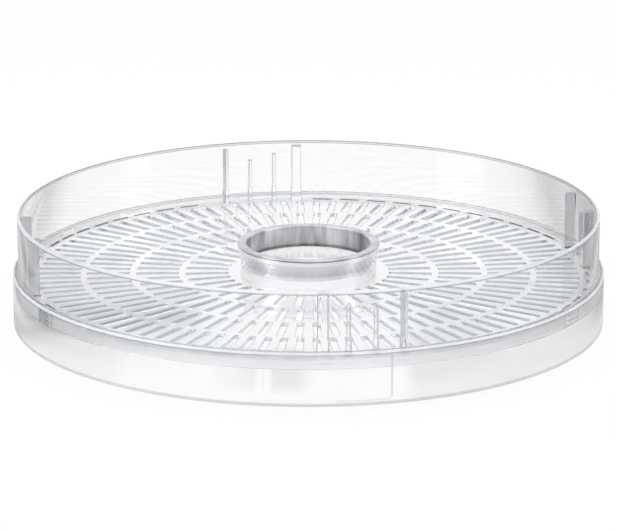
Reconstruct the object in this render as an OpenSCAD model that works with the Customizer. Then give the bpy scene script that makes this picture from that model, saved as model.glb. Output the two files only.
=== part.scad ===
// One tier of a round stacking food dehydrator.
// A clear ring carries a slotted clear floor, and a metal sleeve lines the air hole
// in the middle. Millimetres, +Z up. The origin is on the axis, on the face of the
// skirt that the tier stands on, and -Y is the front.

/* [Wall] */
// Outer radius of the upper wall, which goes inside the skirt of the next tier up
wall_r = 165; // [160:0.5:170]
// Thickness of the upper wall
wall_t = 2; // [1.6:0.1:2.6]
// Height of the rim above the surface that the tier stands on
tier_h = 62.7; // [60:0.1:80]
// Lead-in chamfer round the outside of the rim
rim_lead = 1.2; // [0.6:0.1:1.4]
// How far the foot of the upper wall reaches below the top of the ledge
wall_below = 9.5; // [8:0.5:10]
// Thickness of the foot of the upper wall, below the ledge
wall_foot_t = 1.4; // [1.2:0.1:1.5]

/* [Skirt] */
// Height of the top of the ledge
ledge_h = 30; // [26:0.5:34]
// Thickness of the ledge
ledge_t = 2; // [1.5:0.1:3]
// Thickness of the skirt
skirt_t = 1.8; // [1.4:0.1:2.2]
// Radial clearance of the skirt round the wall of the next tier down
stack_clear = 1.2; // [0.8:0.1:1.6]
// Extra thickness of the skirt beside the foot of the wall
skirt_extra = 0.6; // [0.5:0.1:0.7]

/* [Finger grips] */
// Angle of the middle of the front grip
grip_angle = 273.5; // [262:0.5:278]
// Angle that each shallow grip panel covers
grip_span = 24; // [10:1:30]
// Depth of a grip panel in the skirt's outer face
grip_depth = 0.5; // [0.3:0.1:0.8]
// Height of the lower edge of a grip panel
grip_foot = 2.6; // [1.5:0.1:6]

/* [Stop blocks] */
// Angle of the first of the four blocks under the ledge
block_angle = 30; // [24:1:36]
// Width of a stop block
block_w = 12.8; // [6:0.2:16]

/* [Floor seat] */
// How far the shelf under the floor reaches in from the wall
shelf_w = 3.1; // [2:0.1:3.2]
// Thickness of the shelf
shelf_t = 2; // [1.5:0.1:3]
// Depth of the floor's underside below the top of the ledge
seat_drop = 5.5; // [5:0.1:6]

/* [Stacking ribs] */
// Number of rib groups round the wall
rib_groups = 4; // [2:1:4]
// Thickness of a rib
rib_t = 1.8; // [1.2:0.1:2.4]
// Extra thickness of a rib's foot
foot_extra = 0.8; // [0.4:0.1:1.2]
// Height of a rib's foot above its seat
foot_h = 10; // [6:0.5:14]
// How far the deep ribs stand in from the wall
deep_rib = 6; // [4:0.2:7]
// How far the shallow ribs stand in from the wall
shallow_rib = 3; // [2:0.2:4]
// Width of the post at the start of each group
post_w = 5.6; // [4:0.2:8]
// Depth of the post's top below the rim
post_drop = 2.4; // [1:0.1:8]
// Depth of the end rib's top below the rim
end_drop = 3; // [1:0.1:8]
// Depth of the upper step's top below the rim
upper_step_drop = 7.4; // [6:0.1:12]
// Depth of the lower step's top below the rim
lower_step_drop = 10.8; // [8:0.1:16]

/* [Drying floor] */
// Thickness of the floor
floor_t = 2.5; // [2:0.1:3]
// Radial gap between the floor and the wall
floor_gap = 0.4; // [0.3:0.05:0.6]
// Gap between a rib and its notch in the floor
notch_gap = 0.5; // [0.4:0.1:0.8]
// Width of the radial slots
slot_w = 3.8; // [3:0.1:4.4]
// Length of the radial slots
slot_l = 24; // [18:0.5:25]
// Width of the solid bands between the rings of slots
band_w = 4; // [2.5:0.1:6]
// Number of rings of radial slots
slot_rings = 4; // [3:1:4]
// Spacing of the slots along the middle of each ring
slot_pitch = 9.2; // [8:0.1:12]
// Number of narrow slots round the edge
edge_slots = 60; // [40:1:72]
// Width of the narrow slots round the edge
edge_slot_w = 1.4; // [1:0.1:2]
// Length of the narrow slots round the edge
edge_slot_l = 11.4; // [8:0.2:13]
// Width of the floor outside the narrow slots
edge_margin = 3.1; // [2:0.1:3.4]

/* [Collar] */
// Radius of the air hole
hole_r = 35.3; // [32:0.1:37]
// Wall of the collar
collar_t = 2; // [1.5:0.1:3]
// Height of the collar above the floor
collar_h = 15.2; // [13:0.1:18]
// Height of the step inside the collar above the floor
step_h = 4.2; // [3:0.1:6]

/* [Sleeve] */
// Wall of the metal sleeve
sleeve_t = 1.2; // [0.8:0.1:1.6]
// Gap between the sleeve and the collar
sleeve_gap = 0.3; // [0.2:0.05:0.5]
// Outer radius of the sleeve's rolled flange
flange_r = 40.5; // [40:0.1:44]
// Thickness of the flange where it meets the tube
flange_t = 1.8; // [1.2:0.1:2.4]
// Fall of the flange's top from the tube to the edge
flange_fall = 0.8; // [0.4:0.1:1]
// Width of the rolled edge
lip_t = 1; // [0.8:0.1:1.1]
// Depth of the rolled edge below the flange
lip_drop = 1.8; // [1:0.1:3]

/* [Hidden] */
$fn = 96;

// Cutters run this far past the faces that they cut.
past = 1;
// Ribs and blocks are sunk this far into the wall that carries them.
root = 0.6;
turn = 360;

// Ring
wall_in = wall_r - wall_t;
wall_foot = ledge_h - wall_below;
foot_r = wall_in + wall_foot_t;
skirt_in = wall_r + stack_clear;
skirt_r = skirt_in + skirt_t;
skirt_top_in = skirt_in - skirt_extra;
seat_h = ledge_h - seat_drop;
shelf_in = wall_in - shelf_w;
grip_in = skirt_r - grip_depth;

// Members of one group of ribs: angle, width, reach inwards and height of the top.
post_angle = 2.7;
upper_step_angle = 7.5;
lower_step_angle = 12.7;
end_angle = 18.3;
rib_set = [
    [post_angle, post_w, deep_rib, tier_h - post_drop],
    [upper_step_angle, rib_t, shallow_rib, tier_h - upper_step_drop],
    [lower_step_angle, rib_t, shallow_rib, tier_h - lower_step_drop],
    [end_angle, rib_t, deep_rib, tier_h - end_drop]
];
group_pitch = turn / rib_groups;

// Floor
floor_h = seat_h + floor_t;
floor_r = wall_in - floor_gap;
edge_slot_r = floor_r - edge_margin - edge_slot_w / 2;
outer_slot_r = edge_slot_r - edge_slot_w / 2 - band_w;
ring_step = slot_l + band_w;
// From the start of each group up to this angle, the ribs' notches replace the edge slots.
notch_to = 21.5;

// Collar and sleeve
sleeve_out = hole_r + sleeve_t;
collar_in = sleeve_out + sleeve_gap;
collar_out = collar_in + collar_t;
collar_top = floor_h + collar_h;
step_top = floor_h + step_h;
sleeve_foot = step_top + sleeve_gap;
flange_top = collar_top + flange_t;
edge_top = flange_top - flange_fall;
lip_in = flange_r - lip_t;
lip_foot = collar_top - lip_drop;
corner = 0.5;

// Copies its children at each group of ribs.
module at_groups() {
    for (g = [0 : rib_groups - 1])
        rotate(g * group_pitch) children();
}

// One rib: a radial plate standing in from the wall, thicker at its foot.
module rib(width, reach, top) {
    length = reach + root;
    translate([wall_in - reach, -width / 2, seat_h])
        cube([length, width, top - seat_h]);
    translate([wall_in - reach, -(width + foot_extra) / 2, seat_h])
        cube([length, width + foot_extra, foot_h]);
}

module ribs() {
    at_groups()
        for (r = rib_set)
            rotate(r[0]) rib(r[1], r[2], r[3]);
}

// Notches in the floor that let it drop past the ribs.
module rib_notches() {
    at_groups()
        for (r = rib_set) {
            width = r[1] + foot_extra + 2 * notch_gap;
            rotate(r[0])
                translate([wall_in - r[2] - notch_gap, -width / 2, seat_h - past])
                    cube([r[2] + notch_gap + past, width, floor_t + 2 * past]);
        }
}

// A sector of a flat ring, from angle a over the span s.
module sector(r_in, r_out, a, s, h) {
    rotate(a)
        rotate_extrude(angle = s, $fn = 240)
            translate([r_in, 0]) square([r_out - r_in, h]);
}

// The ring's section: upper wall, ledge, skirt and the shelf that the floor rests on.
module ring_section() {
    polygon([
        [skirt_r, 0],
        [skirt_r, ledge_h],
        [wall_r, ledge_h],
        [wall_r, tier_h - rim_lead],
        [wall_r - rim_lead, tier_h],
        [wall_in, tier_h],
        [wall_in, seat_h],
        [shelf_in, seat_h],
        [shelf_in, seat_h - shelf_t],
        [wall_in, seat_h - shelf_t],
        [wall_in, wall_foot],
        [foot_r, wall_foot],
        [foot_r, ledge_h - ledge_t],
        [skirt_top_in, ledge_h - ledge_t],
        [skirt_top_in, wall_foot],
        [skirt_in, wall_foot],
        [skirt_in, 0]
    ]);
}

// Blocks that tie the skirt to the foot of the wall and stop the tier below.
module stop_blocks() {
    span = 2 * asin(block_w / 2 / wall_r);
    for (a = [block_angle, turn / 2 - block_angle,
              turn / 2 + block_angle, turn - block_angle])
        translate([0, 0, wall_foot])
            sector(foot_r - root, skirt_top_in + root, a - span / 2, span,
                   ledge_h - ledge_t / 2 - wall_foot);
}

// Shallow panels in the skirt's outer face, front and back, where fingers lift it.
module grips() {
    for (a = [grip_angle, grip_angle - turn / 2])
        translate([0, 0, grip_foot])
            sector(grip_in, skirt_r + past, a - grip_span / 2, grip_span,
                   ledge_h - ledge_t - grip_foot);
}

module tray_ring() {
    color("gainsboro", 0.5) {
        difference() {
            union() {
                rotate_extrude($fn = 240) ring_section();
                stop_blocks();
            }
            grips();
        }
        ribs();
    }
}

// One ring of radial slots whose outer ends lie on the radius r.
module radial_slots(r) {
    count = floor(2 * PI * (r - slot_l / 2) / slot_pitch / rib_groups) * rib_groups;
    for (i = [0 : count - 1])
        rotate((i + 0.5) * turn / count)
            translate([r - slot_l, -slot_w / 2, seat_h - past])
                cube([slot_l, slot_w, floor_t + 2 * past]);
}

// Narrow slots along the edge, left out where the ribs' notches are.
module edge_slot_ring() {
    for (i = [0 : edge_slots - 1]) {
        a = (i + 0.5) * turn / edge_slots;
        if (a % group_pitch > notch_to)
            rotate(a)
                translate([edge_slot_r - edge_slot_w / 2, -edge_slot_l / 2, seat_h - past])
                    cube([edge_slot_w, edge_slot_l, floor_t + 2 * past]);
    }
}

module drying_floor() {
    color("whitesmoke", 0.5) {
        difference() {
            translate([0, 0, seat_h]) cylinder(r = floor_r, h = floor_t, $fn = 240);
            translate([0, 0, seat_h - past])
                cylinder(r = (hole_r + collar_out) / 2, h = floor_t + 2 * past);
            rib_notches();
            for (k = [0 : slot_rings - 1]) radial_slots(outer_slot_r - k * ring_step);
            edge_slot_ring();
        }
        rotate_extrude()
            polygon([
                [hole_r, seat_h],
                [collar_out, seat_h],
                [collar_out, collar_top],
                [collar_in, collar_top],
                [collar_in, step_top],
                [hole_r, step_top]
            ]);
    }
}

module centre_sleeve() {
    color("silver")
        rotate_extrude()
            polygon([
                [hole_r, sleeve_foot],
                [sleeve_out, sleeve_foot],
                [sleeve_out, collar_top],
                [lip_in, collar_top],
                [lip_in, lip_foot],
                [flange_r, lip_foot],
                [flange_r, edge_top - corner],
                [flange_r - corner, edge_top],
                [hole_r + corner, flange_top],
                [hole_r, flange_top - corner]
            ]);
}

tray_ring();
drying_floor();
centre_sleeve();
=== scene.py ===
import math

import bmesh
import bpy
import numpy as np
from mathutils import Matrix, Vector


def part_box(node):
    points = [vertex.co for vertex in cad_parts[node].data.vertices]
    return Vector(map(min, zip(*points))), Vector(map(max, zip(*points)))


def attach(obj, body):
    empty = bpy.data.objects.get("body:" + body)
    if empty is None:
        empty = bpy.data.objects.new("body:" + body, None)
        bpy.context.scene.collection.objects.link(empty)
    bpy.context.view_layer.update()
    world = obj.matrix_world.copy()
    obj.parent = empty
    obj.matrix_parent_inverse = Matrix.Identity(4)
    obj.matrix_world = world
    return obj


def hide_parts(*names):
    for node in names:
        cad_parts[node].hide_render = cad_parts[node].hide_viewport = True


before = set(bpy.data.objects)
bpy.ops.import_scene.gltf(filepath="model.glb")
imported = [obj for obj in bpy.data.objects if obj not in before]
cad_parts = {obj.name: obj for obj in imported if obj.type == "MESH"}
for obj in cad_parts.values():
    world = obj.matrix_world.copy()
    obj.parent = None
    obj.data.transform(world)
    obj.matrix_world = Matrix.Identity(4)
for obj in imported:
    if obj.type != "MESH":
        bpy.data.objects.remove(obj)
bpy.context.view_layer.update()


# ---- Camera ----
# A long lens looks down on the tier from the front, a little above the rim, so that the
# whole floor shows over the front wall.

view_elevation = math.radians(16.717)
view_distance = 2.168
view_pitch = math.radians(15.945)
lens_mm = 221.1
camera_data = bpy.data.cameras.new("camera")
camera_data.lens = lens_mm
camera_data.sensor_width = 36.0
camera_data.clip_end = 50.0
camera = bpy.data.objects.new("camera", camera_data)
camera.location = (0.0, -view_distance * math.cos(view_elevation),
                   view_distance * math.sin(view_elevation))
camera.rotation_euler = (math.pi / 2 - view_pitch, 0.0, 0.0)
bpy.context.scene.collection.objects.link(camera)
bpy.context.scene.camera = camera


# ---- Tray ring ----
# The wall of the tier: an open upper wall on a wider skirt, with a flat ledge between them,
# a shelf inside for the floor and four groups of stacking ribs. It is one injection moulding
# of clear hard plastic, with lightly rounded edges.

_, ring_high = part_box("tray_ring")
floor_low, floor_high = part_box("drying_floor")
mm = 0.001
hair = 0.02 * mm
skirt_r = ring_high.y
rim_h = ring_high.z
seat_h = floor_low.z

# The skirt, the wall that stands on it, the ledge between them and the lines that mark them.
wall_r = skirt_r - 3 * mm
wall_in = wall_r - 2 * mm
skirt_in = skirt_r - 1.8 * mm
skirt_top_in = skirt_in - 0.6 * mm
ledge_h = seat_h + 5.5 * mm
ledge_under = ledge_h - 2 * mm
wall_foot = ledge_h - 9.5 * mm
foot_r = wall_in + 1.4 * mm
foot_band = 1.7 * mm
edge_low = ledge_under + 0.65 * mm
rim_line = rim_h - 1.4 * mm
rim_line_low = rim_h - 2.0 * mm
skirt_foot_round = 0.8 * mm
ledge_round = 0.9 * mm
root_round = 0.4 * mm
rim_round = 1.2 * mm
rim_in_round = 0.5 * mm
wall_foot_round = 0.3 * mm

# The shelf under the floor, and the stop blocks in the groove under the ledge.
shelf_in = wall_in - 3.1 * mm
shelf_under = seat_h - 2 * mm
block_half = math.asin(6.4 * mm / wall_r)
block_angles = np.radians([30.0, 150.0, 210.0, 330.0])
dark_block = block_angles[2]

# The grip panels, let into the skirt at the front and the back.
grip_r = skirt_r - 0.5 * mm
grip_foot = 2.6 * mm
grip_corner = 3 * mm
grip_ease = 1.1 * mm
grip_angles = np.radians([93.5, 273.5])
grip_half = math.radians(12.0)

# The stacking ribs. Each rib of a group has its angle, half its width, its reach inwards and
# the height of its top. A rib and its rounded root lie within rib_span of its middle.
groups = 4
foot_top = seat_h + 10 * mm
foot_extra = 0.4 * mm
rib_edge = 0.35 * mm
rib_root = 0.5 * mm
rib_span = math.radians(2.6)
ribs = [
    (math.radians(2.7), 2.8 * mm, 6 * mm, rim_h - 2.4 * mm),
    (math.radians(7.5), 0.9 * mm, 3 * mm, rim_h - 7.4 * mm),
    (math.radians(12.7), 0.9 * mm, 3 * mm, rim_h - 10.8 * mm),
    (math.radians(18.3), 0.9 * mm, 6 * mm, rim_h - 3 * mm),
]


def from_angle(theta, middle):
    """The signed angle from middle to theta, brought between minus and plus half a turn."""
    return (theta - middle + math.pi) % (2 * math.pi) - math.pi


def rib_reach(t, half, depth):
    """How far a rib stands in from the wall at the distance t from its middle plane: nothing
    outside it, its depth inside, with a quarter round at its root and another at its edge."""
    into = half - np.abs(t)
    out = np.clip(-into, 0.0, rib_root)
    root = rib_root - np.sqrt(rib_root ** 2 - (rib_root - out) ** 2)
    edge = np.clip(into, 0.0, rib_edge)
    inside = depth - rib_edge + np.sqrt(rib_edge ** 2 - (rib_edge - edge) ** 2)
    return np.where(into >= 0, inside, root)


def rib_profile(theta):
    """How far the ribs and their wider feet stand in from the wall at each angle, and the
    height of their tops: the greatest reach of any rib there. Where there is none, the reach
    is 0 and the top lies flat in the wall at bare_top."""
    bare_top = foot_top + 10 * mm
    upper = np.zeros_like(theta)
    lower = np.zeros_like(theta)
    top = np.full_like(theta, bare_top)
    for g in range(groups):
        for angle, half, depth, height in ribs:
            off = from_angle(theta, angle + g * 2 * math.pi / groups)
            t = wall_in * np.sin(off)
            near = np.abs(off) < rib_span
            reach = np.where(near, rib_reach(t, half, depth), 0.0)
            foot = np.where(near, rib_reach(t, half + foot_extra, depth), 0.0)
            close = near & (np.abs(t) < half + foot_extra + 2 * rib_root)
            upper = np.maximum(upper, reach)
            lower = np.maximum(lower, foot)
            top = np.where(close, height, top)
    return upper, lower, top


def panel_profile(theta):
    """The radius of the skirt's face at each angle and the height of a grip panel's lower
    edge. From a panel's end the radius eases in as 3 s^2 - 2 s^3, where s is the share of
    grip_ease passed, and the lower edge comes down round a quarter circle."""
    panel_r = np.full_like(theta, skirt_r)
    panel_low = np.full_like(theta, grip_foot)
    for angle in grip_angles:
        inset = (grip_half - np.abs(from_angle(theta, angle))) * skirt_r
        near_end = np.clip(inset, 0.0, grip_corner)
        rise = grip_corner - np.sqrt(grip_corner ** 2 - (grip_corner - near_end) ** 2)
        step_in = np.clip(inset / grip_ease, 0.0, 1.0)
        panel_r = panel_r - (skirt_r - grip_r) * step_in ** 2 * (3 - 2 * step_in)
        panel_low = np.where(inset > 0, grip_foot + rise, panel_low)
    return panel_r, panel_low


def rounded(corners, radii, steps):
    """The closed outlines through corners (stations, corners, 2), each right-angled corner
    replaced by a quarter circle: centre = corner + (u + v) r, where u and v point to its
    neighbours and r is that corner's radius, one for each station or one for all."""
    rows = []
    count = corners.shape[1]
    for i in range(count):
        here = corners[:, i]
        to_last = corners[:, i - 1] - here
        to_next = corners[:, (i + 1) % count] - here
        u = to_last / np.maximum(np.linalg.norm(to_last, axis=1, keepdims=True), 1e-12)
        v = to_next / np.maximum(np.linalg.norm(to_next, axis=1, keepdims=True), 1e-12)
        r = np.broadcast_to(radii[i], len(here))[:, None, None]
        turn = np.linspace(0, math.pi / 2, steps[i]).reshape(1, -1, 1)
        centre = (here + (u + v) * r[:, 0])[:, None, :]
        rows.append(centre - v[:, None] * r * np.cos(turn) - u[:, None] * r * np.sin(turn))
    return np.concatenate(rows, axis=1)


def ring_outlines(theta):
    """The ring's section at each angle, as (radius, height), going round it from the foot of
    the skirt, up outside, down inside and back through the groove under the ledge."""
    upper, lower, top = rib_profile(theta)
    panel_r, panel_low = panel_profile(theta)
    roof = np.full_like(theta, ledge_under)
    for angle in block_angles:
        roof = np.where(np.abs(from_angle(theta, angle)) < block_half, wall_foot, roof)
    # The round of a step takes under half of the step, so it shrinks to nothing with it.
    under_half = 0.45
    panel_round = under_half * np.minimum(skirt_r - panel_r, 0.4 * mm)
    rib_round = under_half * np.minimum(upper, 0.8 * mm)
    foot_round = under_half * np.minimum(lower - upper, 0.5 * mm)
    # Radius and height of each corner, with its rounding and the points that its round takes.
    rows = [
        # Up the skirt's outside, in over the panel's lower edge and out again under the ledge.
        (skirt_r, 0.0, skirt_foot_round, 6), (skirt_r, foot_band, 0.0, 1),
        (skirt_r, panel_low, 0.0, 1), (panel_r, panel_low + 0.6 * mm, 0.0, 1),
        (panel_r, wall_foot, 0.0, 1), (panel_r, ledge_under, panel_round, 2),
        (skirt_r, ledge_under, panel_round, 2), (skirt_r, edge_low, 0.0, 1),
        # Across the ledge, up the wall and over the rim.
        (skirt_r, ledge_h, ledge_round, 7), (wall_r, ledge_h, root_round, 4),
        (wall_r, rim_line_low, 0.0, 1), (wall_r, rim_line, 0.0, 1),
        (wall_r, rim_h, rim_round, 8), (wall_in, rim_h, rim_in_round, 5),
        # Down the inside, over a rib and its foot, and round the shelf.
        (wall_in, top, rib_round, 2), (wall_in - upper, top, rib_round, 3),
        (wall_in - upper, foot_top, foot_round, 2), (wall_in - lower, foot_top, foot_round, 2),
        (wall_in - lower, seat_h, 0.0, 1), (shelf_in, seat_h, 0.2 * mm, 2),
        (shelf_in, shelf_under, 0.4 * mm, 3), (wall_in, shelf_under, 0.3 * mm, 2),
        # Round the wall's foot, through the groove and down the skirt's inside.
        (wall_in, wall_foot, wall_foot_round, 2), (foot_r, wall_foot, wall_foot_round, 2),
        (foot_r, roof, 0.0, 1), (skirt_top_in, roof, 0.0, 1),
        (skirt_top_in, wall_foot, 0.2 * mm, 2), (skirt_in, wall_foot, 0.2 * mm, 2),
        (skirt_in, foot_band, 0.0, 1), (skirt_in, 0.0, 0.5 * mm, 4),
    ]
    corners = np.stack([np.stack([r + 0 * theta, z + 0 * theta], axis=1)
                        for r, z, _, _ in rows], axis=1)
    return rounded(corners, [row[2] for row in rows], [row[3] for row in rows])


def ring_stations():
    """The angles at which the section is taken: an even grid, and close pairs where a rib,
    a block or a grip panel starts and ends."""
    even_steps = 480
    steps = [np.linspace(0, 2 * math.pi, even_steps, endpoint=False)]
    rib_ts = []
    for angle, half, _, _ in ribs:
        for side in (half, half + foot_extra):
            out = side + rib_root * np.array([1.0, 0.7, 0.4, 0.15])
            inside = side - rib_edge * np.array([0.0, 0.15, 0.45, 1.0])
            t = np.concatenate([out, [side + hair], inside])
            rib_ts.append(angle + np.concatenate([-t, t]) / wall_in)
    for g in range(groups):
        steps.append(np.concatenate(rib_ts) + g * 2 * math.pi / groups)
    edge = np.array([-1.0, 1.0]) * hair / wall_r
    for angle in block_angles:
        steps += [angle - block_half + edge, angle + block_half + edge]
    corner = grip_corner / skirt_r * np.array([0.07, 0.14, 0.21, 0.29, 0.37, 0.5, 0.7, 1.0])
    for angle in grip_angles:
        steps += [angle - grip_half + edge, angle + grip_half + edge]
        steps += [angle - grip_half + corner, angle + grip_half - corner]
    theta = np.sort(np.concatenate(steps) % (2 * math.pi))
    keep = np.append(np.diff(theta) > 0.2 * hair / wall_r, True)
    return theta[keep]


def turned(theta, outline):
    """The closed surface of an outline (stations, points, 2) carried round the axis: each
    point lies at (r cos theta, r sin theta, z). Returns its points and its quads."""
    r, z = outline[..., 0], outline[..., 1]
    points = np.stack([r * np.cos(theta)[:, None], r * np.sin(theta)[:, None], z], axis=-1)
    m, n = r.shape
    i, j = np.meshgrid(np.arange(m), np.arange(n), indexing="ij")
    i2, j2 = (i + 1) % m, (j + 1) % n
    quads = np.stack([i * n + j, i2 * n + j, i2 * n + j2, i * n + j2], axis=-1)
    return points.reshape(-1, 3), quads.reshape(-1, 4).tolist()


def closed_piece(name, points, faces, weld=0.002 * mm, sliver=0.001 * mm):
    """A closed piece from points and faces: points nearer than weld are merged, faces and
    edges smaller than sliver are dissolved, unless that is 0, and the faces are turned
    outwards."""
    data = bpy.data.meshes.new(name)
    data.from_pydata(points.tolist(), [], faces)
    shape = bmesh.new()
    shape.from_mesh(data)
    bmesh.ops.remove_doubles(shape, verts=shape.verts, dist=weld)
    if sliver > 0:
        bmesh.ops.dissolve_degenerate(shape, edges=shape.edges, dist=sliver)
    bmesh.ops.recalc_face_normals(shape, faces=shape.faces)
    shape.to_mesh(data)
    shape.free()
    piece = bpy.data.objects.new(name, data)
    bpy.context.scene.collection.objects.link(piece)
    return piece


def smooth_shading(piece):
    """Smooth shading, except over edges sharper than sharp_angle, whose normals follow the
    large faces, so that flats stay flat beside their rounded edges."""
    sharp_angle = math.radians(32.0)
    piece.data.shade_smooth()
    piece.data.set_sharp_from_angle(angle=sharp_angle)
    weighted = piece.modifiers.new("weighted_normals", "WEIGHTED_NORMAL")
    weighted.weight = 80
    weighted.keep_sharp = True


def face_centres(piece):
    """The middle of each face, as its distance from the axis, its height and its angle, and
    the way that the face looks: how far along the circle round the axis, from 0 to 1, and
    how far upwards, from -1 to 1."""
    middles = np.zeros(len(piece.data.polygons) * 3)
    facing = np.zeros(len(piece.data.polygons) * 3)
    piece.data.polygons.foreach_get("center", middles)
    piece.data.polygons.foreach_get("normal", facing)
    x, y, z = middles.reshape(-1, 3).T
    turn = np.arctan2(y, x)
    nx, ny, up = facing.reshape(-1, 3).T
    return np.hypot(x, y), z, turn, np.abs(ny * np.cos(turn) - nx * np.sin(turn)), up


def add_finishes(piece, make, rows):
    """Gives a piece a material for each row, which holds what make needs, its name first.
    Returns the slot of each finish by its name."""
    for row in rows:
        piece.data.materials.append(make(*row))
    return {row[0]: i for i, row in enumerate(rows)}


def new_material(name):
    """A material as Blender starts it: with its nodes, its shader and its output."""
    material = bpy.data.materials.new(name)
    material.use_nodes = True
    tree = material.node_tree
    return material, tree, tree.nodes["Principled BSDF"], tree.nodes["Material Output"]


def feed(tree, socket, value):
    """Links a socket to another node's output, or sets it where value is a plain one."""
    if isinstance(value, bpy.types.NodeSocket):
        tree.links.new(value, socket)
    else:
        socket.default_value = value


def mapped(tree, value, start, end, low=0.0, high=1.0, smooth=False):
    """The value carried over from the range start to end to the range low to high, and held
    at its ends: low + (high - low) s, with s = (value - start) / (end - start), or with
    3 s^2 - 2 s^3 in place of s where it is smooth."""
    node = tree.nodes.new("ShaderNodeMapRange")
    node.interpolation_type = "SMOOTHSTEP" if smooth else "LINEAR"
    node.inputs["From Min"].default_value = start
    node.inputs["From Max"].default_value = end
    node.inputs["To Min"].default_value = low
    node.inputs["To Max"].default_value = high
    feed(tree, node.inputs["Value"], value)
    return node.outputs["Result"]


def noise(tree, place, scale, detail, roughness=0.5):
    """Cloudy noise between 0 and 1, with about scale clouds to the metre."""
    node = tree.nodes.new("ShaderNodeTexNoise")
    node.inputs["Scale"].default_value = scale
    node.inputs["Detail"].default_value = detail
    node.inputs["Roughness"].default_value = roughness
    feed(tree, node.inputs["Vector"], place)
    return node.outputs["Fac"]


def mixed(tree, factor, first, second, how="MIX"):
    """Two colours as one: first where factor is 0 and second where it is 1."""
    node = tree.nodes.new("ShaderNodeMix")
    node.data_type = "RGBA"
    node.blend_type = how
    feed(tree, node.inputs["Factor"], factor)
    feed(tree, node.inputs["A"], first)
    feed(tree, node.inputs["B"], second)
    return node.outputs["Result"]


def raised(tree, height, strength, distance):
    """The bumps of a surface that stands out by distance where height is 1."""
    node = tree.nodes.new("ShaderNodeBump")
    node.inputs["Strength"].default_value = strength
    node.inputs["Distance"].default_value = distance
    feed(tree, node.inputs["Height"], height)
    return node.outputs["Normal"]


def either_surface(tree, output, factor, first, second):
    """Ends a material in the shader first where factor is 0 and second where it is 1."""
    node = tree.nodes.new("ShaderNodeMixShader")
    tree.links.new(factor, node.inputs["Fac"])
    tree.links.new(first, node.inputs[1])
    tree.links.new(second, node.inputs[2])
    tree.links.new(node.outputs["Shader"], output.inputs["Surface"])


def clear_plastic(name, tint, roughness, haze_scale, clearness=1.0):
    """Clear moulded plastic: a transmission shader whose roughness and tint drift a little,
    with the faint ripple that a mould leaves, and which lets the lamps through. A clearness
    under 1 clouds it by the rest."""
    lamps_through = (0.953, 0.955, 0.958, 1.0)
    material, tree, shader, output = new_material(name)
    shader.inputs["IOR"].default_value = 1.52
    shader.inputs["Transmission Weight"].default_value = clearness
    place = tree.nodes.new("ShaderNodeTexCoord")
    drift = noise(tree, place.outputs["Object"], haze_scale, 3.0)
    rough = mapped(tree, drift, 0.0, 1.0, roughness * 0.6, roughness * 1.6)
    shade = mixed(tree, drift, (*tint, 1.0), (*[c * 0.985 for c in tint], 1.0))
    tree.links.new(rough, shader.inputs["Roughness"])
    tree.links.new(shade, shader.inputs["Base Color"])
    tree.links.new(raised(tree, drift, 0.04, 0.1 * mm), shader.inputs["Normal"])
    light_path = tree.nodes.new("ShaderNodeLightPath")
    through = tree.nodes.new("ShaderNodeBsdfTransparent")
    through.inputs["Color"].default_value = lamps_through
    either_surface(tree, output, light_path.outputs["Is Shadow Ray"],
                   shader.outputs["BSDF"], through.outputs["BSDF"])
    return material


ring_theta = ring_stations()
ring = closed_piece("clear_tray_ring", *turned(ring_theta, ring_outlines(ring_theta)))
smooth_shading(ring)

# Each finish of the ring: its tint, its roughness, the scale of its haze and its clearness.
# The pale edge finish is a painted highlight; the grey frosted, foot, edge and ledge tints are
# painted shade.
ring_slot = add_finishes(ring, clear_plastic, [
    ("ring_plastic", (0.978, 0.982, 0.986), 0.02, 45.0),
    ("ring_painted_highlight", (0.97, 0.98, 1.0), 0.32, 90.0, 0.55),
    ("rib_frost_painted_shade", (0.7, 0.705, 0.715), 0.14, 160.0, 0.95),
    ("soft_painted_shade", (0.74, 0.745, 0.752), 0.35, 200.0, 0.8),
    ("edge_shade", (0.35, 0.365, 0.385), 0.2, 160.0, 0.9),
    ("ledge_painted_shade", (0.3, 0.305, 0.315), 0.25, 160.0, 0.85),
    ("groove_satin", (1.0, 1.0, 1.0), 0.38, 60.0),
])
ring_r, ring_z, ring_turn, ring_along, ring_up = face_centres(ring)
finish = np.zeros(len(ring_r), dtype=np.int32)
# A face whose middle is within skin of a surface lies in it. A finish goes past the edge that
# bounds it by this little.
skin = 0.1 * mm
past = 0.05 * mm

# The rim's outside gets a pale, cloudy band, a painted highlight, and a grey painted shade
# line runs along its inside and another just below it.
rim_middle = wall_in + 0.45 * mm
rim_outside = (ring_z > rim_h - rim_round - past) & (ring_r > rim_middle)
rim_inside = (ring_z > rim_h - rim_in_round - past) & (ring_r < rim_middle)
below_rim = (ring_z > rim_line_low) & (ring_z < rim_line) & (ring_r > wall_r - skin)
finish[rim_outside] = ring_slot["ring_painted_highlight"]
finish[rim_inside | below_rim] = ring_slot["edge_shade"]

# The ledge's flat is grey, a painted shade; its rounded outer edge is pale, a painted
# highlight; and a grey painted shade line runs along below that.
ledge_outside = ring_r > skirt_r - ledge_round - past
ledge_line = (ring_z > ledge_under) & (ring_z < edge_low) & (ring_r > skirt_r - skin)
ledge_flat = (ring_z > ledge_h - past) & (ring_r > wall_r + root_round) & ~ledge_outside
finish[ledge_outside & (ring_z > edge_low)] = ring_slot["ring_painted_highlight"]
finish[ledge_line] = ring_slot["edge_shade"]
finish[ledge_flat] = ring_slot["ledge_painted_shade"]

# The groove under the ledge is satin.
in_groove = (ring_r > foot_r - wall_foot_round - past) & (ring_r < skirt_top_in + past)
in_groove &= (ring_z > wall_foot - past) & (ring_z < ledge_under + past)
finish[in_groove] = ring_slot["groove_satin"]
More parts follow.
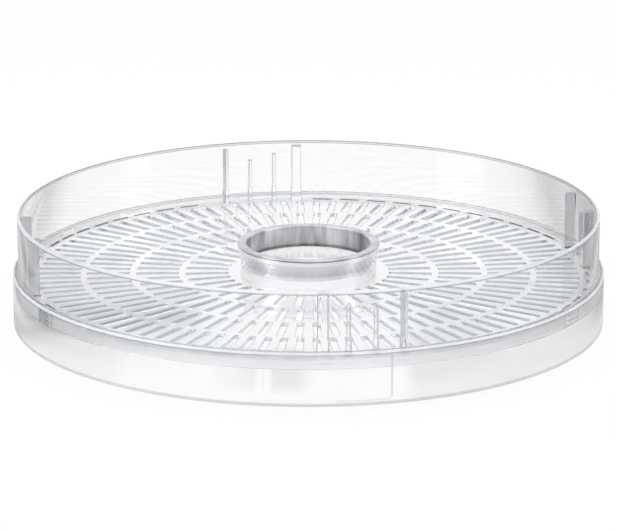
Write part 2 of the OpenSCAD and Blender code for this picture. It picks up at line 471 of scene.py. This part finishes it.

# The flat sides of the ribs are frosted, with a grey tint that is painted shade. The rounded
# edges at their tips, and their tops, are grey with a darker painted shade. What tells them
# apart is the share by which a face looks along the circle or upwards.
rib_starts = wall_in - 0.3 * mm
rib_tip = wall_in - 2.4 * mm
flat_side = 0.9
round_side = 0.15
flat_top = 0.7
in_rib = (ring_r < rib_starts) & (ring_z > seat_h + skin)
rib_rounds = (ring_along > round_side) & (ring_along < flat_side) & (ring_r < rib_tip)
rib_tops = (ring_up > flat_top) & (ring_z > foot_top + 1 * mm)
finish[in_rib & (ring_along > flat_side)] = ring_slot["rib_frost_painted_shade"]
finish[in_rib & (rib_rounds | rib_tops)] = ring_slot["edge_shade"]

# A grey band of painted shade runs round the foot. The stop blocks are frosted, with a grey
# tint that is painted shade, and the one at the front left has the darkest painted shade.
# Each is taken a little wider than it is, by block_margin, an angle.
finish[ring_z < foot_band] = ring_slot["soft_painted_shade"]
block_margin = 0.0005
for angle in block_angles:
    in_block = np.abs(from_angle(ring_turn, angle)) < block_half + block_margin
    in_block &= (ring_r > foot_r) & (ring_z > wall_foot) & (ring_z < ledge_under)
    finish[in_block] = ring_slot["edge_shade" if angle == dark_block else "rib_frost_painted_shade"]

# The step at the anticlockwise end of each grip panel gets a grey painted shade line, and so
# does the first part of the lower edge from there.
shaded_length = 30 * mm
for angle in grip_angles:
    inset = (grip_half - from_angle(ring_turn, angle)) * skirt_r
    on_step = (inset > 0) & (ring_z < ledge_under)
    on_step &= (ring_r > grip_r + hair) & (ring_r < skirt_r - hair)
    lower_edge = (inset < shaded_length) & (ring_z < grip_foot + grip_corner)
    finish[on_step & ((inset < grip_ease) | lower_edge)] = ring_slot["soft_painted_shade"]
ring.data.polygons.foreach_set("material_index", finish)
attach(ring, "ring")
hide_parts("tray_ring")


# ---- Drying floor ----
# A flat disc of clear plastic, pierced by rings of radial slots and by narrow slots along its
# edge, with a collar round the air hole. It is one moulding, notched to drop past the ring's
# ribs onto the shelf.

floor_t = 2.5 * mm
floor_top = seat_h + floor_t
floor_r = floor_high.y
collar_top = floor_high.z
hole_r = 35.3 * mm
collar_in = hole_r + 1.5 * mm
collar_out = collar_in + 2 * mm
step_top = floor_top + 4.2 * mm
slot_w = 3.8 * mm
slot_l = 24 * mm
band_w = 4 * mm
slot_rings = 4
slot_pitch = 9.2 * mm
slot_corner = 0.8 * mm
edge_slots = 60
edge_slot_w = 1.4 * mm
edge_slot_l = 11.4 * mm
edge_slot_r = floor_r - 3.8 * mm
edge_slot_corner = 0.6
plate_edge = 0.25 * mm
notch_gap = 0.5 * mm
seat_gap = 0.06 * mm
# The ribs take up this many degrees of each quarter, and the edge slots start past them.
ribs_end = 21.5


def slot_outline(r_in, r_out, half, angle, corner):
    """A slot with parallel sides along a radius: a rectangle from r_in to r_out whose corners
    are each cut by a short chamfered round, turned to its angle."""
    cut = corner * 0.3
    x = np.array([r_in, r_in + cut, r_in + corner, r_out - corner, r_out - cut, r_out])
    y = np.array([half - corner, half - cut, half, half, half - cut, half - corner])
    x, y = np.append(x, x[::-1]), np.append(y, -y[::-1])
    return np.stack([x * math.cos(angle) - y * math.sin(angle),
                     x * math.sin(angle) + y * math.cos(angle)], axis=1)


def disc_outline(radius):
    """The floor's edge: a circle, cut inwards round every rib by the rib's reach and a gap."""
    even_steps = 720
    theta = [np.linspace(0, 2 * math.pi, even_steps, endpoint=False)]
    cuts = []
    for g in range(groups):
        for angle, half, depth, _ in ribs:
            middle = angle + g * 2 * math.pi / groups
            wide = half + foot_extra + notch_gap
            cuts.append((middle, wide, wall_in - depth - notch_gap))
            theta.append(middle + np.array([-wide - hair, -wide, wide, wide + hair]) / radius)
    theta = np.sort(np.concatenate(theta) % (2 * math.pi))
    r = np.full_like(theta, radius)
    for middle, wide, r_in in cuts:
        inside = np.abs(from_angle(theta, middle)) * radius < wide + 0.2 * hair
        r = np.where(inside, r_in, r)
    return np.stack([r * np.cos(theta), r * np.sin(theta)], axis=1)


def floor_outlines():
    """The edge of the floor and every hole through it: rings of radial slots, whose count
    follows the pitch along the middle of the ring, the edge slots between the ribs, and the
    air hole, which ends inside the collar's wall."""
    outlines = [disc_outline(floor_r)]
    outer = edge_slot_r - edge_slot_w / 2 - band_w
    for k in range(slot_rings):
        r_out = outer - k * (slot_l + band_w)
        middle = 2 * math.pi * (r_out - slot_l / 2)
        count = int(middle / slot_pitch / groups) * groups
        for i in range(count):
            angle = (i + 0.5) * 2 * math.pi / count
            outlines.append(slot_outline(r_out - slot_l, r_out, slot_w / 2, angle, slot_corner))
    for i in range(edge_slots):
        degrees = (i + 0.5) * 360 / edge_slots
        if degrees % (360 / groups) > ribs_end:
            angle = math.radians(degrees)
            half = edge_slot_w / 2
            corner = half * edge_slot_corner
            outlines.append(slot_outline(edge_slot_r - half, edge_slot_r + half,
                                         edge_slot_l / 2, angle, corner))
    hole_steps = 192
    theta = np.linspace(0, 2 * math.pi, hole_steps, endpoint=False)
    hole = (hole_r + collar_out) / 2 * np.stack([np.cos(theta), np.sin(theta)], axis=1)
    return outlines + [hole]


def plate(name, outlines, thickness, edge, low):
    """A flat plate with holes: the even-odd area between closed outlines, given a thickness
    and chamfered edges, from the height low upwards. Returns its points and its faces."""
    curve = bpy.data.curves.new(name, "CURVE")
    curve.dimensions = "2D"
    curve.fill_mode = "BOTH"
    curve.extrude = thickness / 2 - edge
    curve.bevel_depth = edge
    curve.bevel_resolution = 0
    curve.offset = -edge
    for outline in outlines:
        spline = curve.splines.new("POLY")
        spline.points.add(len(outline) - 1)
        co = np.zeros((len(outline), 4))
        co[:, :2] = outline
        co[:, 3] = 1.0
        spline.points.foreach_set("co", co.ravel())
        spline.use_cyclic_u = True
    flat = bpy.data.objects.new(name, curve)
    bpy.context.scene.collection.objects.link(flat)
    bpy.context.view_layer.update()
    seen = flat.evaluated_get(bpy.context.evaluated_depsgraph_get())
    data = bpy.data.meshes.new_from_object(seen)
    bpy.data.objects.remove(flat)
    co = np.zeros(len(data.vertices) * 3)
    data.vertices.foreach_get("co", co)
    co = co.reshape(-1, 3)
    co[:, 2] += low + thickness / 2
    faces = [list(p.vertices) for p in data.polygons]
    return co, faces


def lathed(outline, count):
    """The closed surface of one outline (points, 2), turned round the axis in count steps."""
    theta = np.linspace(0, 2 * math.pi, count, endpoint=False)
    return turned(theta, np.repeat(outline[None], count, axis=0))


def collar_section():
    """The collar's outline as (radius, height): across its foot, up outside, over its top and
    down to the step inside, which carries on to the bore."""
    corners = np.array([[
        (hole_r, seat_h), (collar_out, seat_h), (collar_out, collar_top),
        (collar_in, collar_top), (collar_in, step_top), (hole_r, step_top)]])
    radii = np.array([0.4, 0.0, 0.4, 0.3, 0.2, 0.3]) * mm
    return rounded(corners, radii, [4, 1, 4, 3, 3, 3])[0]


def merged(name, first, second):
    """The union of two closed solids as one closed piece."""
    join = first.modifiers.new("join", "BOOLEAN")
    join.operation = "UNION"
    join.solver = "MANIFOLD"
    join.object = second
    bpy.context.view_layer.update()
    seen = first.evaluated_get(bpy.context.evaluated_depsgraph_get())
    data = bpy.data.meshes.new_from_object(seen)
    data.materials.clear()
    piece = bpy.data.objects.new(name, data)
    bpy.context.scene.collection.objects.link(piece)
    for old in (first, second):
        bpy.data.objects.remove(old)
    return piece


def cut_across(piece, height):
    """A line of edges round every wall of a piece at the given height."""
    shape = bmesh.new()
    shape.from_mesh(piece.data)
    every = shape.verts[:] + shape.edges[:] + shape.faces[:]
    bmesh.ops.bisect_plane(shape, geom=every, dist=0.001 * mm, plane_co=(0, 0, height),
                           plane_no=(0, 0, 1))
    shape.to_mesh(piece.data)
    shape.free()


collar_steps = 240
fine_weld = 0.001 * mm
disc = closed_piece("disc", *plate("plate", floor_outlines(), floor_t - seat_gap, plate_edge,
                                   seat_h + seat_gap), fine_weld, sliver=0.0)
collar = closed_piece("collar", *lathed(collar_section(), collar_steps), fine_weld, sliver=0.0)
drying_floor = merged("clear_drying_floor", disc, collar)
# The edge slots' walls carry a near-black painted shade from the top down to this height.
slot_shade_low = floor_top - 1.1 * mm
cut_across(drying_floor, slot_shade_low)
smooth_shading(drying_floor)

# Each finish of the floor: its tint, its roughness, the scale of its haze and its clearness. The
# two dark slot-wall tints are painted shade in the slots.
floor_slot = add_finishes(drying_floor, clear_plastic, [
    ("floor_plastic", (0.968, 0.972, 0.978), 0.05, 60.0),
    ("edge_slot_painted_shade", (0.05, 0.052, 0.058), 0.2, 120.0, 0.5),
    ("slot_wall_painted_shade", (0.6, 0.62, 0.66), 0.1, 120.0, 0.95),
    ("bore_satin", (1.0, 1.0, 1.0), 0.3, 120.0),
])
floor_face_r, floor_face_z, _, floor_along, _ = face_centres(drying_floor)
finish = np.zeros(len(floor_face_r), dtype=np.int32)
# The long walls of the radial slots look along the circle by more than this share.
long_wall = 0.3
in_plate = (floor_face_z > seat_h + plate_edge) & (floor_face_z < floor_top - plate_edge)
in_plate &= floor_face_r < edge_slot_r - band_w
in_edge_slot = np.abs(floor_face_r - edge_slot_r) < edge_slot_w / 2 + plate_edge
in_edge_slot &= (floor_face_z > slot_shade_low) & (floor_face_z < floor_top - hair)
in_bore = np.abs(floor_face_r - hole_r) < 0.2 * mm
# The slot walls are tinted darker than the plate: painted shade inside the slots.
finish[in_plate & (floor_along > long_wall)] = floor_slot["slot_wall_painted_shade"]
finish[in_edge_slot] = floor_slot["edge_slot_painted_shade"]
finish[in_bore] = floor_slot["bore_satin"]
drying_floor.data.polygons.foreach_set("material_index", finish)
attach(drying_floor, "floor")
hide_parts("drying_floor")


# ---- Centre sleeve ----
# A short spun tube of satin metal with a broad flange, rolled over and turned down at its
# edge. It hangs in the collar by the flange and lines the air hole.

sleeve_low, sleeve_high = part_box("centre_sleeve")
sleeve_t = 1.2 * mm
flange_r = sleeve_high.y
flange_top = sleeve_high.z
sleeve_foot = sleeve_low.z
lip_in = flange_r - 1 * mm
lip_foot = collar_top - 1.8 * mm


def arc(centre, radius, start, end, count):
    """Points on a circle round centre, from the angle start to the angle end in degrees."""
    a = np.radians(np.linspace(start, end, count))
    return np.stack([centre[0] + radius * np.cos(a), centre[1] + radius * np.sin(a)], axis=1)


def sleeve_section():
    """The sleeve's outline as (radius, height): up the bore, over a round shoulder, out along
    the flange, round its rolled edge, down the lip and back under the flange to the tube."""
    foot_round = 0.2 * mm
    shoulder = 0.6 * mm
    roll = 0.4 * mm
    neck_r = flange_r - 0.3 * mm
    neck_in = neck_r - 0.2 * mm
    neck_top = flange_top - 2 * roll
    lip_round = 0.3 * mm
    lip_in_round = 0.15 * mm
    return np.concatenate([
        arc((hole_r + foot_round, sleeve_foot + foot_round), foot_round, 270, 180, 3),
        arc((hole_r + shoulder, flange_top - shoulder), shoulder, 180, 90, 8),
        arc((flange_r - roll, flange_top - roll), roll, 90, -60, 9),
        np.array([(neck_in, neck_top), (neck_in, neck_top - 0.3 * mm)]),
        arc((neck_in, neck_top - 0.6 * mm), 0.2 * mm, 60, 0, 3),
        arc((neck_r - lip_round, lip_foot + lip_round), lip_round, 0, -90, 4),
        arc((lip_in + lip_in_round, lip_foot + lip_in_round), lip_in_round, 270, 180, 3),
        np.array([(lip_in, collar_top), (hole_r + sleeve_t, collar_top)]),
        np.array([(hole_r + sleeve_t, sleeve_foot)]),
    ])


def stretched(tree, place, upright):
    """A place whose height counts upright times, which flattens or lengthens a noise."""
    node = tree.nodes.new("ShaderNodeMapping")
    node.inputs["Scale"].default_value = (1.0, 1.0, upright)
    feed(tree, node.inputs["Vector"], place)
    return node.outputs["Vector"]


def ramp(tree, value, stops, low=0.0, high=1.0):
    """A colour ramp over a value from 0 to 1, which stands for the range low to high: each of
    the stops has its place in that range and the grey level or the colour that it has there."""
    node = tree.nodes.new("ShaderNodeValToRGB")
    elements = node.color_ramp.elements
    elements.remove(elements[1])
    for i, (place, tone) in enumerate(stops):
        share = (place - low) / (high - low)
        stop = elements[0] if i == 0 else elements.new(share)
        stop.position = share
        stop.color = (*tone, 1.0) if isinstance(tone, tuple) else (tone, tone, tone, 1.0)
    feed(tree, node.inputs["Fac"], value)
    return node.outputs["Color"]


def satin_metal(name, dark, light, smooth, painted_foot_shade):
    """Spun satin metal: fine rings from the lathe in its roughness and bump; upright streaks of
    random tone between a dark and a light tone, which also stand as painted reflections; and
    painted shade that darkens the wall towards its foot, to the share given last."""
    material, tree, shader, _ = new_material(name)
    shader.inputs["Metallic"].default_value = 1.0
    place = tree.nodes.new("ShaderNodeTexCoord")
    split = tree.nodes.new("ShaderNodeSeparateXYZ")
    tree.links.new(place.outputs["Object"], split.inputs["Vector"])
    rings = noise(tree, stretched(tree, place.outputs["Object"], 14.0), 220.0, 4.0)
    clouds = noise(tree, stretched(tree, place.outputs["Object"], 0.2), 95.0, 5.0, 0.6)
    # Streaks of random tone, which also stand as painted reflections.
    painted_streaks = ramp(tree, clouds, [(0.33, (dark, dark * 1.005, dark * 1.03)),
                                  (0.67, (light, light, light * 1.03))])
    # The wall darkens towards its foot: painted shade.
    rise = mapped(tree, split.outputs["Z"], sleeve_foot, flange_top)
    wall_painted_shade = ramp(tree, rise, [(0.1, painted_foot_shade), (0.2, 0.72), (0.5, 0.88), (0.75, 1.0)])
    rough = mapped(tree, rings, 0.0, 1.0, smooth * 0.7, smooth * 1.3)
    tree.links.new(mixed(tree, 1.0, painted_streaks, wall_painted_shade, "MULTIPLY"), shader.inputs["Base Color"])
    tree.links.new(rough, shader.inputs["Roughness"])
    tree.links.new(raised(tree, rings, 0.15, 0.05 * mm), shader.inputs["Normal"])
    return material


sleeve_steps = 288
sleeve = closed_piece("metal_centre_sleeve", *lathed(sleeve_section(), sleeve_steps))
smooth_shading(sleeve)

# Each finish of the sleeve: its dark and light tones, its roughness and its painted shade at
# the foot. The finishes are lit and shaded copies of one metal: painted shade on the flange
# and the neck, a painted highlight on the lip.
sleeve_slot = add_finishes(sleeve, satin_metal, [
    ("bore_painted_reflection_and_shade", 0.27, 0.94, 0.34, 0.3),
    ("flange_painted_shade", 0.5, 0.76, 0.3, 0.3),
    ("lip_painted_highlight", 0.93, 0.97, 0.3, 1.0),
    ("neck_painted_shade", 0.2, 0.3, 0.4, 0.3),
])
sleeve_face_r, sleeve_face_z, _, _, _ = face_centres(sleeve)
finish = np.zeros(len(sleeve_face_r), dtype=np.int32)
# The bore keeps the first finish. Outside it come the flange in painted shade, the neck under
# its rolled edge in a darker painted shade, and the lip below that in a painted highlight.
neck_high = flange_top - 0.5 * mm
neck_low = flange_top - 1.2 * mm
outside = sleeve_face_r > hole_r + 0.4 * mm
in_neck = (sleeve_face_r > lip_in) & (sleeve_face_z > neck_low) & (sleeve_face_z < neck_high)
finish[outside] = sleeve_slot["flange_painted_shade"]
finish[outside & (sleeve_face_z < neck_low)] = sleeve_slot["lip_painted_highlight"]
finish[in_neck] = sleeve_slot["neck_painted_shade"]
sleeve.data.polygons.foreach_set("material_index", finish)
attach(sleeve, "sleeve")
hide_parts("centre_sleeve")


# ---- Table and light ----
# The tier stands on a plain white table in a pale room, between soft boxes: one broad box
# overhead, one to the left and a weaker one to the right.

table_size = 6.0
white = (1.0, 1.0, 1.0, 1.0)

# Glass and metal see the table as if white and grey cards stood round the tier. The cards are
# levels in the table's material, where 1 is white: each row has a place and the level there.
# Under the tier the places are angles in degrees.
cards_under = [(-180, 0.3), (-176, 0.5), (-171, 0.42), (-164, 0.68), (-158, 0.82),
               (-124, 0.95), (-56, 0.82), (-24, 0.86), (-8, 0.86), (4, 0.78), (16, 0.8),
               (34, 1.0), (146, 1.0), (164, 0.76), (180, 0.42)]
# Under its front, under the foot of its front and beyond it, they are millimetres to the
# right of the middle.
cards_front = [(-110, 0.93), (-57, 1.0), (-36, 0.9), (-30, 0.87), (-27, 1.0), (-22, 1.0),
               (-19, 0.82), (-8, 0.82), (4, 1.0), (51, 1.0), (59, 0.8), (110, 0.8)]
cards_foot = [(-110, 1.0), (48, 1.0), (60, 0.88), (110, 0.86)]
cards_beyond = [(-300, 0.5), (-262, 0.75), (-240, 0.35), (-218, 0.75), (-200, 0.4), (-186, 0.85),
                (-172, 0.6), (-156, 0.95), (-140, 0.98), (-100, 1.0), (100, 1.0), (132, 0.94),
                (143, 0.86), (157, 0.57), (172, 0.62), (190, 0.4), (215, 0.66), (240, 0.34),
                (262, 0.6), (300, 0.42)]
# The levels under the tier are multiplied by these, at millimetres from the axis.
cards_depth = [(50, 1.0), (66, 1.0), (80, 0.9), (100, 0.96), (118, 1.0), (180, 1.0)]
front_reach = 110
beyond_reach = 300
depth_reach = 200

# Where one card passes into the next, going out from the axis: the white middle into the
# cards under the tier, those into the foot's at the front, and all of them into the ones
# beyond the tier.
hole_fade = (55 * mm, 75 * mm)
foot_fade = (124 * mm, 154 * mm)
beyond_fade = (155 * mm, 185 * mm)
# The front cards start between these distances to the front, and end between these to a side.
front_fade = (-30 * mm, -60 * mm)
side_fade = (110 * mm, 94 * mm)

# The share of the table's look that is glow, and not lamplight: as glass and metal see it, and
# as the eye does near the tier. From shadow_end the eye's share grows, to all at far_end.
glass_share = 0.88
eye_share = 0.75
shadow_end = 0.45
far_end = 1.1


def worked_out(tree, operation, *values):
    """One step of arithmetic on values, each a number or another node's output."""
    node = tree.nodes.new("ShaderNodeMath")
    node.operation = operation
    for socket, value in zip(node.inputs, values):
        feed(tree, socket, value)
    return node.outputs["Value"]


def along(tree, distance, stops, low, high):
    """The levels of stops, whose places are millimetres, along a distance in metres."""
    return ramp(tree, mapped(tree, distance, low * mm, high * mm), stops, low, high)


def card_levels(tree, place, reach):
    """The level of the cards at a place: by its angle under the tier, by its distance to the
    side under the front and beyond the tier, and by its reach, which is its distance from the
    axis."""
    split = tree.nodes.new("ShaderNodeSeparateXYZ")
    tree.links.new(place, split.inputs["Vector"])
    x, y = split.outputs["X"], split.outputs["Y"]
    turn = worked_out(tree, "ARCTAN2", y, x)
    under = ramp(tree, mapped(tree, turn, -math.pi, math.pi), cards_under, -180, 180)
    front = along(tree, x, cards_front, -front_reach, front_reach)
    foot = along(tree, x, cards_foot, -front_reach, front_reach)
    beyond = along(tree, x, cards_beyond, -beyond_reach, beyond_reach)
    depth = along(tree, reach, cards_depth, 0, depth_reach)

    to_side = worked_out(tree, "ABSOLUTE", x)
    in_front = worked_out(tree, "MULTIPLY", mapped(tree, to_side, *side_fade, smooth=True),
                          mapped(tree, y, *front_fade, smooth=True))
    at_foot = worked_out(tree, "MULTIPLY", mapped(tree, reach, *foot_fade, smooth=True), in_front)
    levels = mixed(tree, in_front, under, front)
    levels = mixed(tree, at_foot, levels, foot)
    levels = mixed(tree, 1.0, levels, depth, "MULTIPLY")
    levels = mixed(tree, mapped(tree, reach, *hole_fade, smooth=True), white, levels)
    return mixed(tree, mapped(tree, reach, *beyond_fade, smooth=True), levels, beyond)


def white_table(name):
    """A white surface that keeps soft shadows: mostly a white glow to the eye, mostly a glow
    at the level of the cards to metal and glass, and plain matt white to the lamps."""
    material, tree, shader, output = new_material(name)
    shader.inputs["Base Color"].default_value = (0.95, 0.95, 0.95, 1.0)
    shader.inputs["Roughness"].default_value = 0.9
    shader.inputs["Specular IOR Level"].default_value = 0.0
    place = tree.nodes.new("ShaderNodeTexCoord")
    length = tree.nodes.new("ShaderNodeVectorMath")
    length.operation = "LENGTH"
    tree.links.new(place.outputs["Object"], length.inputs[0])
    reach = length.outputs["Value"]
    cards = card_levels(tree, place.outputs["Object"], reach)

    light_path = tree.nodes.new("ShaderNodeLightPath")
    to_eye = light_path.outputs["Is Camera Ray"]
    glow = tree.nodes.new("ShaderNodeEmission")
    tree.links.new(mixed(tree, to_eye, cards, white), glow.inputs["Color"])
    to_glass = worked_out(tree, "MAXIMUM", light_path.outputs["Is Glossy Ray"],
                          light_path.outputs["Is Transmission Ray"])
    glass_part = worked_out(tree, "MULTIPLY", to_glass, glass_share)
    eye_part = mapped(tree, reach, shadow_end, far_end, low=eye_share)
    part = worked_out(tree, "MULTIPLY_ADD", to_eye, eye_part, glass_part)
    either_surface(tree, output, part, shader.outputs["BSDF"], glow.outputs["Emission"])
    return material


table_data = bpy.data.meshes.new("table")
half_table = table_size / 2
table_data.from_pydata(
    [(-half_table, -half_table, 0), (half_table, -half_table, 0),
     (half_table, half_table, 0), (-half_table, half_table, 0)], [], [(0, 1, 2, 3)])
table = bpy.data.objects.new("table", table_data)
table.location = (0.0, 0.0, -0.05 * mm)
table_data.materials.append(white_table("table_white"))
bpy.context.scene.collection.objects.link(table)


def soft_box(name, location, target, width, height, power):
    """A rectangular lamp at location that faces target."""
    data = bpy.data.lights.new(name, "AREA")
    data.shape = "RECTANGLE"
    data.size = width
    data.size_y = height
    data.energy = power
    lamp = bpy.data.objects.new(name, data)
    lamp.location = location
    aim = np.array(target) - np.array(location)
    yaw = math.atan2(aim[0], -aim[1])
    pitch = math.acos(-aim[2] / np.linalg.norm(aim))
    lamp.rotation_euler = (pitch, 0.0, yaw + math.pi)
    bpy.context.scene.collection.objects.link(lamp)


soft_box("overhead", (0.0, 0.2, 1.6), (0.0, 0.0, 0.0), 1.8, 1.4, 9.0)
soft_box("left_box", (-1.5, -0.6, 0.9), (0.0, 0.0, 0.05), 0.7, 1.3, 7.0)
soft_box("right_box", (1.6, -0.3, 0.8), (0.0, 0.0, 0.05), 0.5, 1.2, 4.0)

# The room is white low down and turns a cool grey higher up. The eye sees it white all over.
room_low = (0.35, (1.0, 1.0, 1.0))
room_high = (0.75, (0.58, 0.6, 0.65))
world = bpy.data.worlds.new("room")
world.use_nodes = True
bpy.context.scene.world = world
room = world.node_tree
background = room.nodes["Background"]
background.inputs["Strength"].default_value = 1.0
room_place = room.nodes.new("ShaderNodeTexCoord")
room_split = room.nodes.new("ShaderNodeSeparateXYZ")
room.links.new(room_place.outputs["Generated"], room_split.inputs["Vector"])
room_tone = ramp(room, room_split.outputs["Z"], [room_low, room_high])
room_path = room.nodes.new("ShaderNodeLightPath")
seen = mixed(room, room_path.outputs["Is Camera Ray"], room_tone, white)
room.links.new(seen, background.inputs["Color"])

bpy.context.scene.view_settings.view_transform = "Standard"
# Light passes through many clear walls before it reaches the eye.
bpy.context.scene.cycles.max_bounces = 40
bpy.context.scene.cycles.glossy_bounces = 32
bpy.context.scene.cycles.transmission_bounces = 40
bpy.context.scene.cycles.transparent_max_bounces = 24
